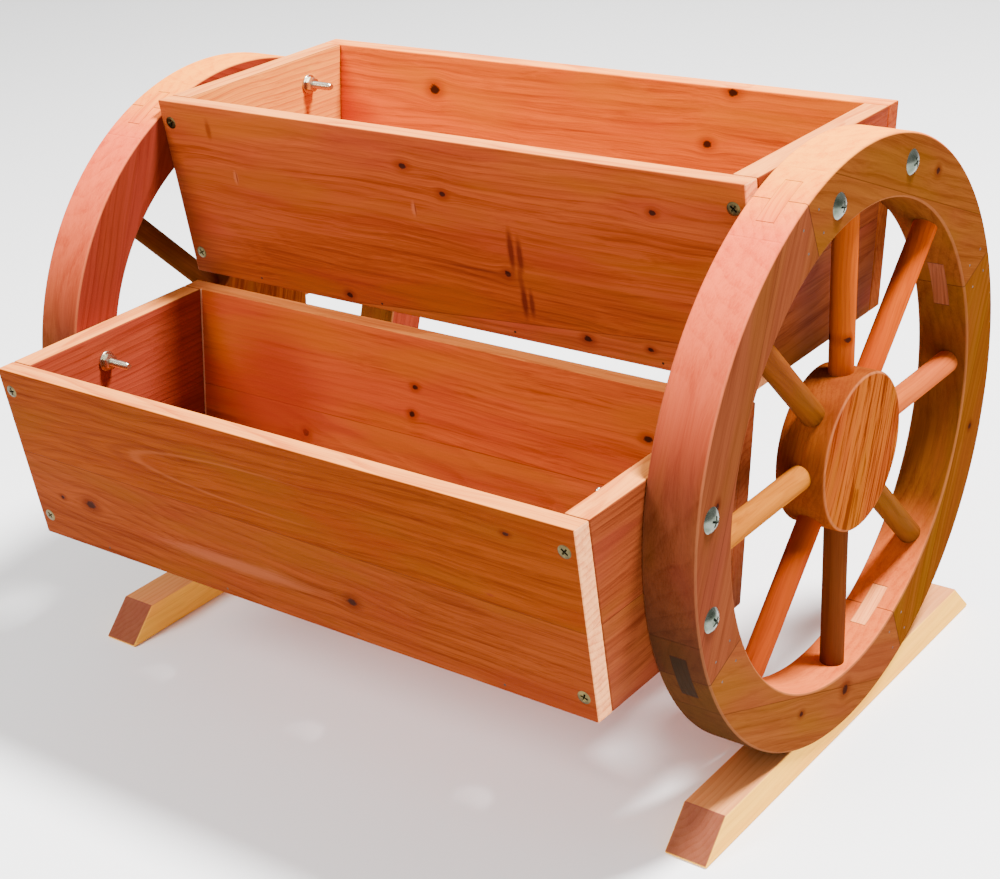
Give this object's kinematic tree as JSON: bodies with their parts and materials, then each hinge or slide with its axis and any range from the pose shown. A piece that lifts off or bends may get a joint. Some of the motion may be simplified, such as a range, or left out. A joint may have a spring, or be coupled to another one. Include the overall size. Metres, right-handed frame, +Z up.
{
  "type": "flower cart stand",
  "caption": "Tiered wooden flower cart: open planting troughs bolted between spoked wagon wheels, which sit in hollows in flat runners.",
  "frame": {"origin": "on the ground under the cart, midway between the two wheels and midway between the front of the lower trough and the back of the wheels", "axes": "+X runs to the right along the troughs, from wheel to wheel; +Y runs to the back, towards the upper trough; +Z is up"},
  "size_m": [0.5832, 0.4878, 0.432],
  "materials": {
    "trough_wood": "satin",
    "floor_wood": "satin",
    "rim_wood": "satin",
    "spoke_wood": "gloss",
    "hub_wood": "satin",
    "key_wood": "satin",
    "runner_wood": "satin",
    "bolt_zinc": "satin",
    "screw_zinc": "satin",
    "brad_steel": "satin"
  },
  "bodies": {
    "root": {"left_runner": "runner_wood", "left_wheel_front_lower_felloe": "rim_wood", "left_wheel_front_upper_felloe": "rim_wood", "left_wheel_hub": "hub_wood", "left_wheel_rear_lower_felloe": "rim_wood", "left_wheel_rear_upper_felloe": "rim_wood", "left_wheel_rim_key_1": "key_wood", "left_wheel_rim_key_2": "key_wood", "left_wheel_rim_key_3": "key_wood", "left_wheel_rim_key_4": "key_wood", "left_wheel_spoke_1": "spoke_wood", "left_wheel_spoke_2": "spoke_wood", "left_wheel_spoke_3": "spoke_wood", "left_wheel_spoke_4": "spoke_wood", "left_wheel_spoke_5": "spoke_wood", "left_wheel_spoke_6": "spoke_wood", "left_wheel_spoke_7": "spoke_wood", "left_wheel_spoke_8": "spoke_wood", "lower_trough_back_board": "trough_wood", "lower_trough_floor_board": "floor_wood", "lower_trough_floor_brads": "brad_steel", "lower_trough_front_board": "trough_wood", "lower_trough_left_end_board": "trough_wood", "lower_trough_right_end_board": "trough_wood", "lower_trough_screws": "screw_zinc", "right_runner": "runner_wood", "right_wheel_front_lower_felloe": "rim_wood", "right_wheel_front_upper_felloe": "rim_wood", "right_wheel_hub": "hub_wood", "right_wheel_rear_lower_felloe": "rim_wood", "right_wheel_rear_upper_felloe": "rim_wood", "right_wheel_rim_key_1": "key_wood", "right_wheel_rim_key_2": "key_wood", "right_wheel_rim_key_3": "key_wood", "right_wheel_rim_key_4": "key_wood", "right_wheel_spoke_1": "spoke_wood", "right_wheel_spoke_2": "spoke_wood", "right_wheel_spoke_3": "spoke_wood", "right_wheel_spoke_4": "spoke_wood", "right_wheel_spoke_5": "spoke_wood", "right_wheel_spoke_6": "spoke_wood", "right_wheel_spoke_7": "spoke_wood", "right_wheel_spoke_8": "spoke_wood", "runner_screws": "screw_zinc", "upper_trough_back_board": "trough_wood", "upper_trough_floor_board": "floor_wood", "upper_trough_floor_brads": "brad_steel", "upper_trough_front_board": "trough_wood", "upper_trough_left_end_board": "trough_wood", "upper_trough_right_end_board": "trough_wood", "upper_trough_screws": "screw_zinc", "wheel_bolt_nuts": "bolt_zinc", "wheel_bolt_washers": "bolt_zinc", "wheel_bolts": "bolt_zinc", "wheel_rim_key_brads": "brad_steel"}
  },
  "joints": []
}
